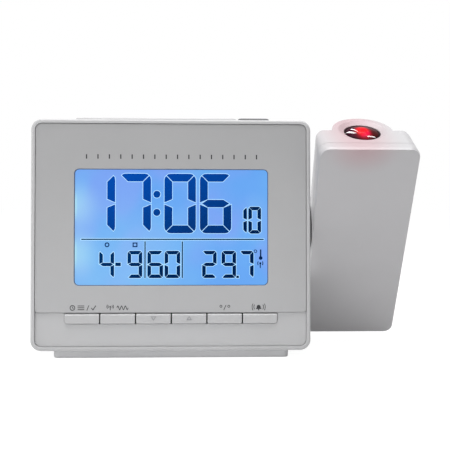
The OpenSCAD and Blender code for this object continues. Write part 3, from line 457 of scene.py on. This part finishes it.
FINISHES = {
    moulded("silver_case_plastic", tone(194, 194, 195)): [
        "front_case", "rear_case", "battery_door"],
    # painted light: the plinth is paler than the case to make up for the shade under the body
    moulded("silver_plinth_plastic", tone(208, 208, 210)): ["base_plate"],
    moulded("grey_plate_paint", tone(178, 178, 179), 0.5, 0.28, 0.004, painted_light=painted_plate_shading): [
        "face_plate"],
    moulded("silver_key_plastic", tone(190, 190, 191), 0.24, edge_mm=0.08): [
        "key_left_1", "key_left_2", "key_down", "key_up", "key_right_1", "key_right_2"],
    moulded("pale_bar_plastic", tone(188, 188, 189), 0.4): ["snooze_bar"],
    moulded("dark_button_plastic", tone(100, 100, 103), 0.45): ["light_button"],
    moulded("silver_arm_plastic", tone(183, 182, 184), 0.4, painted_light=painted_lens_glow): [
        "arm_front_cover", "arm_rear_housing"],
    moulded("dark_moulded_plastic", tone(52, 52, 55), 0.46): [
        "focus_wheel", "switch_knob", "power_jack", "buzzer", "optics_tube"],
    moulded("lens_barrel_plastic", tone(40, 18, 24), 0.3): ["lens_barrel"],
    moulded("white_holder_plastic", tone(224, 224, 222), 0.5): ["lcd_holder"],
    moulded("acetal_plastic", tone(226, 224, 212), 0.4): ["pivot_bush"],
    moulded("black_switch_plastic", tone(34, 34, 36), 0.5): ["key_switches", "top_switches"],
    moulded("cast_black_resin", tone(20, 20, 22), 0.18, 0.8, 0.02): ["clock_chip"],
    moulded("sensor_resin", tone(92, 52, 28), 0.25, 0.6, 0.01): ["temperature_sensor"],
    moulded("sintered_ferrite", tone(58, 58, 62), 0.62, 0.3, 0.02): ["ferrite_rod"],
    moulded("lamp_white_plastic", tone(236, 236, 224), 0.35): ["backlight_leds"],
    rubber("foot_rubber_finish", tone(62, 62, 64)): ["rubber_feet", "friction_washer"],
    rubber("soft_contact_strip", tone(92, 92, 98)): ["contact_strip"],
    rubber("lead_jacket_finish", tone(30, 30, 32)): ["body_lead", "arm_lead"],
    metal("zinc_screw_metal", tone(198, 198, 200)): ["case_screws", "board_screws", "arm_screws"],
    metal("nickel_spring_metal", tone(206, 204, 200), 0.25): [
        "battery_springs", "battery_plates", "spring_washer", "retaining_ring"],
    metal("tin_can_metal", tone(190, 190, 192), 0.4): ["projection_switch", "quartz_crystal"],
    circuit_board("green_board"): ["main_board", "top_board", "led_board", "radio_module"],
    winding("copper_winding"): ["antenna_coil"],
    cell_sleeve("cell_sleeve_print"): ["battery_cells"],
    lit_display("lit_display_field"): ["lcd_glass"],
    clear_part("clear_window_sheet", tone(0, 0, 0), 0.03, gloss=0.0): ["lcd_window"],
    clear_part("frosted_light_guide", tone(214, 232, 255), 0.75, 0.4): ["light_guide"],
    clear_part("condenser_glass", tone(225, 230, 245), 0.4): ["condenser_lens"],
    clear_part("small_display_glass", tone(120, 130, 150), 0.8, 0.1): ["projection_lcd"],
    glowing_lens("glowing_projection_lens"): ["projection_lens"],
    red_lamp("red_lamp_resin"): ["projector_led"],
}
for finish, names in FINISHES.items():
    for name in names:
        slots = NODES[name].data.materials
        slots.clear()
        slots.append(finish)
bare = [name for name, o in NODES.items() if o.data.materials[0] not in FINISHES]
if bare:
    raise RuntimeError("no finish for " + ", ".join(bare))


# ------------------------------------------------------------------ flat shapes, in millimetres
def outline(points):
    """A filled shape with one convex outline."""
    return [list(points), [list(range(len(points)))]]


def bar(x0, y0, x1, y1):
    return outline([(x0, y0), (x1, y0), (x1, y1), (x0, y1)])


def circle(x, y, r, start=0.0, end=360.0, steps=24):
    """Points of a circle, or of an arc between two angles in degrees."""
    angles = [math.radians(start + (end - start) * k / steps) for k in range(steps + 1)]
    points = [(x + r * math.cos(a), y + r * math.sin(a)) for a in angles]
    return points[:-1] if end - start == 360 else points


def disc(x, y, r):
    return outline(circle(x, y, r))


# a corner's reach is the plain reach over its cosine, which counts as no less than these
SHARPEST_LINE = 0.4
SHARPEST_GROWN = 0.5


def line(points, width, closed=False):
    """A drawn line of even width along points."""
    count = len(points)
    sides = []
    for i, (x, y) in enumerate(points):
        before = points[i - 1] if i or closed else points[i]
        after = points[(i + 1) % count] if i + 1 < count or closed else points[i]
        first = Vector((x - before[0], y - before[1]))
        second = Vector((after[0] - x, after[1] - y))
        first = (first if first.length else second).normalized()
        second = (second if second.length else first).normalized()
        normal = Vector((-(first + second).y, (first + second).x)).normalized()
        reach = width / 2 / max(SHARPEST_LINE, normal.dot(Vector((-first.y, first.x))))
        sides += [(x + way * normal.x * reach, y + way * normal.y * reach) for way in (1, -1)]
    faces = []
    for i in range(count if closed else count - 1):
        a, b = 2 * i, 2 * ((i + 1) % count)
        faces.append([a, a + 1, b + 1, b])
    return [sides, faces]


def ring(x, y, r, width):
    return line(circle(x, y, r), width, closed=True)


def waves(x, y, radii, spread, width, steps=6):
    """Arcs on the right and on the left of a point, spread degrees to each side."""
    return [line(circle(x, y, r, a - spread, a + spread, steps), width)
            for r in radii for a in (0, 180)]


def grown(shape, amount):
    """A convex outline moved outwards."""
    points = [Vector(p) for p in shape[0]]
    area = sum(a.x * b.y - b.x * a.y for a, b in zip(points, points[1:] + points[:1]))
    way = 1 if area > 0 else -1
    moved = []
    for i, point in enumerate(points):
        first = (point - points[i - 1]).normalized()
        second = (points[(i + 1) % len(points)] - point).normalized()
        before = Vector((first.y, -first.x)) * way
        after = Vector((second.y, -second.x)) * way
        middle = (before + after).normalized()
        moved.append(tuple(point + middle * amount / max(SHARPEST_GROWN, middle.dot(before))))
    return [moved, shape[1]]


def flat_piece(name, shapes, front, back, finish, body):
    """A piece of thin closed solids: flat shapes (across, up) between two depths of the body."""
    mesh = bmesh.new()
    for points, faces in shapes:
        near = [mesh.verts.new((x * MM, front * MM, y * MM)) for x, y in points]
        far = [mesh.verts.new((x * MM, back * MM, y * MM)) for x, y in points]
        edges = {}
        for face in faces:
            mesh.faces.new([near[i] for i in face])
            mesh.faces.new([far[i] for i in reversed(face)])
            for a, b in zip(face, face[1:] + face[:1]):
                edges[(a, b)] = edges.pop((b, a), None) is None
        # an edge that only one face has is on the outside, and gets a side face
        for (a, b), outer in edges.items():
            if outer:
                mesh.faces.new([near[b], near[a], far[a], far[b]])
    bmesh.ops.recalc_face_normals(mesh, faces=mesh.faces)
    data = bpy.data.meshes.new(name)
    mesh.to_mesh(data)
    mesh.free()
    data.materials.append(finish)
    piece = bpy.data.objects.new(name, data)
    bpy.context.scene.collection.objects.link(piece)
    piece.matrix_world = BODY_FRAME
    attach(piece, body)


# ------------------------------------------------------------------ the display's figures
# the lit bars of each figure: a top, b and c right, d bottom, e and f left, g middle
BARS = {
    "0": "abcdef", "1": "bc", "2": "abdeg", "4": "bcfg", "6": "acdefg", "7": "abc", "9": "abcdfg"}
BIG_BAR, SMALL_BAR = 3.15, 1.45
# the foot of the lower row of figures
LOWER_ROW = 28.33
# shares of a bar's width: the gap beside a mitre, the radius of an outer corner, the ends of the
# upright bars at the middle (inner and outer side), and the cross bar's point and half height
MITRE_GAP, OUTER_ROUND = 0.055, 0.78
END_INNER, END_OUTER = 0.54, 0.12
CROSS_POINT, CROSS_HALF = 0.26, 0.48
# shares of an outer corner's radius, which place the points of its arc 22.5 degrees from an end
# (drop and back) and at its middle
ARC_DROP, ARC_BACK, ARC_MIDDLE = 0.076, 0.617, 0.293


def figure(character, x, y, w, h, t):
    """The lit bars, t wide, of one figure w by h with its lower left corner at x, y."""
    gap, r = MITRE_GAP * t, OUTER_ROUND * t
    drop, back, half = ARC_DROP * r, ARC_BACK * r, ARC_MIDDLE * r
    middle, rise = h / 2, CROSS_HALF * t
    top = [(r, h), (w - r, h), (w - back, h - drop), (w - half - gap, h - half),
           (w - t - gap, h - t), (t + gap, h - t), (half + gap, h - half), (back, h - drop)]
    left = [(0, h - r), (drop, h - back), (half, h - half - gap), (t, h - t - gap),
            (t, middle + END_INNER * t), (0, middle + END_OUTER * t)]
    cross = [(CROSS_POINT * t, middle), (t, middle + rise), (w - t, middle + rise),
             (w - CROSS_POINT * t, middle), (w - t, middle - rise), (t, middle - rise)]
    right = [(w - a, b) for a, b in left]
    shapes = {
        "a": top, "f": left, "b": right, "g": cross,
        "d": [(a, h - b) for a, b in top],
        "e": [(a, h - b) for a, b in left],
        "c": [(a, h - b) for a, b in right],
    }
    return [outline([(x + a, y + b) for a, b in shapes[name]]) for name in BARS[character]]


def build_display():
    """The display's figures, marks and rules, their pale edges, and the dark line of painted shade
    round the window.
    """
    big, small = [], []
    # the time
    for character, x in (("1", -34.97), ("7", -20.78), ("0", -2.95), ("6", 11.17)):
        big += figure(character, x, 46.14, 12.53, 23.74, BIG_BAR)
    big += [disc(-5.93, 61.66, 1.43), disc(-5.95, 54.43, 1.43)]
    # the seconds
    for character, x in (("1", 24.86), ("0", 30.52)):
        small += figure(character, x, 46.01, 5.1, 10.78, SMALL_BAR)
    # the date, the weekday's field and the temperature, with their dash and point
    for character, x, w in (
            ("4", -28.68, 5.9), ("9", -17.5, 5.83), ("6", -9.62, 6.2), ("0", -2.81, 6.2),
            ("2", 12.1, 5.76), ("9", 19.84, 5.78), ("7", 26.98, 5.66)):
        small += figure(character, x, LOWER_ROW, w, 10.86, SMALL_BAR)
    small += [bar(-22.34, 33.1, -20.14, 34.5), bar(25.7, 28.3, 26.75, 29.3)]
    # small generic marks: a degree ring, a thermometer, a mast with waves, and two field marks
    square = [(-15.3, 40.85), (-13.8, 40.85), (-13.8, 42.25), (-15.3, 42.25)]
    signs = [
        ring(33.35, 39.0, 0.55, 0.28),
        line([(35.45, 36.6), (35.45, 39.7)], 0.56), disc(35.45, 36.3, 0.74),
        line([(35.3, 32.3), (35.3, 34.2)], 0.38), disc(35.3, 34.2, 0.42),
        *waves(35.3, 34.2, (1.05,), 42, 0.34, steps=8),
        ring(-25.6, 41.55, 0.74, 0.46), line(square, 0.46, closed=True),
    ]
    rules = [
        bar(-35.8, 43.45, 36.7, 44.0),
        bar(-10.85, LOWER_ROW, -10.31, 42.93), bar(3.95, LOWER_ROW, 4.49, 42.93),
    ]

    deep = lit_ink("deep_blue_figures", tone(5, 76, 176), tone(5, 40, 84), way=DOWN, far_mm=DOWN_MM)
    navy = lit_ink("navy_small_figures", tone(0, 54, 110), tone(0, 24, 66))
    teal = lit_ink("teal_rules", tone(0, 64, 106))
    pale = lit_ink("pale_bar_edges", tone(180, 224, 255), tone(167, 216, 255), glow=1.25)
    ink_front, ink_back = GLASS_FRONT - 0.06, GLASS_FRONT - 0.03
    edge_front, edge_back = GLASS_FRONT - 0.025, GLASS_FRONT - 0.005
    flat_piece("display_big_figures", big, ink_front, ink_back, deep, "body")
    flat_piece("display_small_figures", small + signs, ink_front, ink_back, navy, "body")
    flat_piece("display_rules", rules, ink_front, ink_back, teal, "body")
    edges = [grown(s, 0.2) for s in big + small + rules[:1]] + [grown(s, 0.12) for s in rules[1:]]
    flat_piece("display_bar_edges", edges, edge_front, edge_back, pale, "body")
    # painted shade: a dark line round the window's edge, laid on the clear sheet
    window_shade_ink = print_and_shade_ink("window_edge_shade", tone(78, 96, 130))
    corners = []
    for x, y, start in (
            (36.3, 69.6, 0), (-36.3, 69.6, 90), (-36.3, 27.4, 180), (36.3, 27.4, 270)):
        corners += circle(x, y, 1.8, start, start + 90, 8)
    line_front, line_back = SHEET_FRONT - 0.03, SHEET_FRONT - 0.01
    edge_line = line(corners, 0.3, closed=True)
    flat_piece(
        "window_edge_line", [edge_line], line_front, line_back, window_shade_ink, "body")


# ------------------------------------------------------------------ printed marks
TICKS = 16
# the middles of the row of pictograms and of the row of keys
SIGN_ROW, KEY_ROW = 16.9, 12.75


def build_marks():
    """The printed scale above the window and the pictograms over the keys."""
    marks = []
    # a plain scale of short ticks
    for k in range(TICKS):
        x = -33.32 + k * 66.86 / (TICKS - 1)
        marks.append(bar(x - 0.24, 75.4, x + 0.24, 77.15))
    y = SIGN_ROW
    # dial, list, slash and tick
    hands = [(-38.6, y + 0.55), (-38.6, y), (-38.15, y - 0.25)]
    marks += [ring(-38.6, y, 0.92, 0.3), line(hands, 0.26)]
    marks += [bar(-36.6, y + 0.62 - 0.72 * k, -34.0, y + 0.9 - 0.72 * k) for k in range(3)]
    marks += [line([(-33.0, y - 1.0), (-32.2, y + 1.0)], 0.26)]
    marks += [line([(-31.3, y), (-30.6, y - 0.8), (-29.5, y + 0.9)], 0.32)]
    # mast with waves, then a long wave
    marks += [line([(-23.9, y - 1.0), (-23.9, y + 0.5)], 0.3), disc(-23.9, y + 0.45, 0.3)]
    marks += waves(-23.9, y + 0.45, (0.8, 1.3), 35, 0.24)
    wave = [(-21.3 + 4.4 * k / 24, y + 0.75 * math.sin(k * math.pi / 4)) for k in range(25)]
    marks += [line(wave, 0.28)]
    # two degree rings and a slash
    marks += [ring(19.5, y + 0.5, 0.42, 0.24), ring(22.6, y + 0.5, 0.42, 0.24)]
    marks += [line([(20.6, y - 1.0), (21.5, y + 1.0)], 0.26)]
    # bell between sound lines
    bell = [(33.2, y - 0.6), (33.6, y - 0.1), (33.65, y + 0.5), (34.0, y + 0.95), (34.4, y + 1.05),
            (34.8, y + 0.95), (35.15, y + 0.5), (35.2, y - 0.1), (35.6, y - 0.6)]
    marks += [outline(bell), disc(34.4, y - 0.85, 0.26)]
    marks += waves(34.4, y + 0.2, (1.9, 2.6), 30, 0.26)
    ink = print_and_shade_ink("plate_mark_ink", tone(34, 34, 38))
    ink_front, ink_back = PLATE_FRONT - 0.02, PLATE_FRONT - 0.001
    flat_piece("plate_marks", marks, ink_front, ink_back, ink, "body")


def build_key_marks():
    """Raised triangles on the two middle keys."""
    relief = moulded("key_mark_plastic", tone(150, 150, 153), 0.4)
    for name, x, way in (("key_down", -7.0, -1), ("key_up", 7.0, 1)):
        foot, tip = KEY_ROW - way * 0.62, KEY_ROW + way * 0.75
        triangle = line([(x - 0.85, foot), (x + 0.85, foot), (x, tip)], 0.26, closed=True)
        flat_piece(
            name + "_triangle", [triangle], KEY_FRONT - 0.08, KEY_FRONT - 0.001, relief, name)


build_display()
build_marks()
build_key_marks()


# ------------------------------------------------------------------ floor and lamps
AMBIENT = 0.3
FLOOR_REACH = 3.0
FLOOR_TONE, FLOOR_MOTTLE = 0.8, 0.04
# the white that the eye sees of the floor, and its share against the lit cloth
FLOOR_WHITE, FLOOR_WHITE_SHARE = 1.2, 0.8
# watts that an area lamp needs for level 1 at one metre, about pi squared
LEVEL_WATTS = 9.87
# name, place, aim and size in metres, and the level of light that it gives at its aim
LAMPS = [
    ("top_softbox", (0.05, -0.05, 0.75), (0.02, 0, 0.03), (0.7, 0.5), 1.25),
    ("left_softbox", (-0.7, -0.1, 0.15), (0.02, 0, 0.05), (0.3, 0.3), 0.18),
    ("left_front_softbox", (-0.55, -0.6, 0.45), (0.02, 0, 0.05), (0.35, 0.35), 0.15),
    ("low_strip", (0, -0.27, 0.012), (0, 0, 0.02), (0.3, 0.02), 0.03),
]
# a small lamp in the gap beside the body, facing the arm, in metres and watts
GAP_PLACE, GAP_AIM = (0.0552, 0.001, 0.062), (0.1552, 0.001, 0.062)
GAP_SIZE, GAP_WATTS = (0.022, 0.066), 0.0036
# how far from the lens the lamps of its glints stand, in metres
LENS_LAMP_REACH = 0.5
# each glint: across and deep from the lens's centre, lean in degrees, half length and half width,
# in millimetres, and glow
LENS_GLINTS = [
    (-2.9, 0.4, -62, 2.1, 0.2, 110),
    (-4.5, -1.1, -42, 1.8, 0.6, 165),
    (2.5, -4.6, 4, 1.6, 0.32, 300),
]


def seen_directly(m):
    """1 for what the eye sees, straight or in glass or gloss, and 0 for light on its way."""
    straight, gloss, glass = (
        m.node("LightPath", output="Is %s Ray" % kind)
        for kind in ("Camera", "Glossy", "Transmission"))
    return m.math("MAXIMUM", straight, m.math("MAXIMUM", gloss, glass))


def build_floor():
    """A wide floor of pale cloth, which the eye sees as nearly white."""
    data = bpy.data.meshes.new("floor")
    corners = [
        (x * FLOOR_REACH, y * FLOOR_REACH, 0) for x, y in ((-1, -1), (1, -1), (1, 1), (-1, 1))]
    data.from_pydata(corners, [], [(0, 1, 2, 3)])
    floor = bpy.data.objects.new("floor", data)
    bpy.context.scene.collection.objects.link(floor)
    made, m = material("pale_floor")
    seen = seen_directly(m)
    level = FLOOR_TONE + (m.noise(2.0, 2.0) - 0.5) * FLOOR_MOTTLE
    cloth = m.node("CombineColor", {}, {0: level, 1: level, 2: level})
    lit = m.node("BsdfDiffuse", {}, {"Color": cloth})
    white = m.node("Emission", {}, {"Color": (1, 1, 1, 1), "Strength": FLOOR_WHITE})
    both = m.node("MixShader", {}, {0: seen * FLOOR_WHITE_SHARE, 1: lit, 2: white})
    m.node("OutputMaterial", {}, {"Surface": both})
    data.materials.append(made)


def lamp(name, place, aim, size, watts):
    """A white area lamp that the camera doesn't see."""
    data = bpy.data.lights.new(name, "AREA")
    data.shape = "RECTANGLE"
    data.size, data.size_y = size
    data.energy = watts
    made = bpy.data.objects.new(name, data)
    bpy.context.scene.collection.objects.link(made)
    made.visible_camera = False
    made.location = place
    made.rotation_euler = (Vector(aim) - Vector(place)).to_track_quat("-Z", "Y").to_euler()
    return made


def mirrored(across, deep):
    """The place, LENS_LAMP_REACH away, that the camera sees mirrored at a point of the dome."""
    up = math.sqrt(LENS_CURVE ** 2 - across ** 2 - deep ** 2)
    normal = (LENS_FRAME.to_3x3() @ Vector((across, deep, up))).normalized()
    point = LENS_FRAME @ (Vector((across, deep, up - LENS_CURVE)) * MM)
    sight = (point - CAMERA_PLACE).normalized()
    return point + (sight - 2 * sight.dot(normal) * normal) * LENS_LAMP_REACH


def lens_lamp(name, across, deep, lean, half_length, half_width, glow):
    """A strip lamp that shows as one slim glint on the lens."""
    way = Vector((math.cos(math.radians(lean)), math.sin(math.radians(lean))))
    place = mirrored(across, deep)
    start, end = (
        mirrored(across + k * half_length * way.x, deep + k * half_length * way.y)
        for k in (-1, 1))
    lower, upper = (
        mirrored(across - k * half_width * way.y, deep + k * half_width * way.x)
        for k in (-1, 1))
    back = (place - LENS_FRAME.translation).normalized()
    right = end - start
    right -= back * right.dot(back)
    length = right.length
    right.normalize()
    up = back.cross(right)
    width = abs((upper - lower).dot(up))
    watts = math.pi * length * width * glow
    made = lamp(name, place, LENS_FRAME.translation, (length, width), watts)
    made.rotation_euler = axes(right, up, back).to_euler()
    return made


def only_on(made, names):
    """Keeps a lamp's light to the named solids."""
    lit = bpy.data.collections.new(made.name + "_lights")
    for name in names:
        lit.objects.link(NODES[name])
    made.light_linking.receiver_collection = lit


def set_light():
    """Light from all round, the soft boxes, and the small lamps of the lens and of the gap."""
    world = bpy.data.worlds.new("studio")
    bpy.context.scene.world = world
    world.use_nodes = True
    w = Maker(world.node_tree)
    strength = AMBIENT + seen_directly(w) * (1 - AMBIENT)
    sky = w.node("Background", {}, {"Color": (1, 1, 1, 1), "Strength": strength})
    w.node("OutputWorld", {}, {"Surface": sky})
    for name, place, aim, size, level in LAMPS:
        far = (Vector(aim) - Vector(place)).length
        lamp(name, place, aim, size, LEVEL_WATTS * far * far * level)
    for number, glint in enumerate(LENS_GLINTS):
        only_on(lens_lamp("lens_strip_%d" % (number + 1), *glint), ["projection_lens"])
    gap_strip = lamp("gap_strip", GAP_PLACE, GAP_AIM, GAP_SIZE, GAP_WATTS)
    only_on(gap_strip, ["arm_front_cover", "arm_rear_housing"])


build_floor()
set_light()
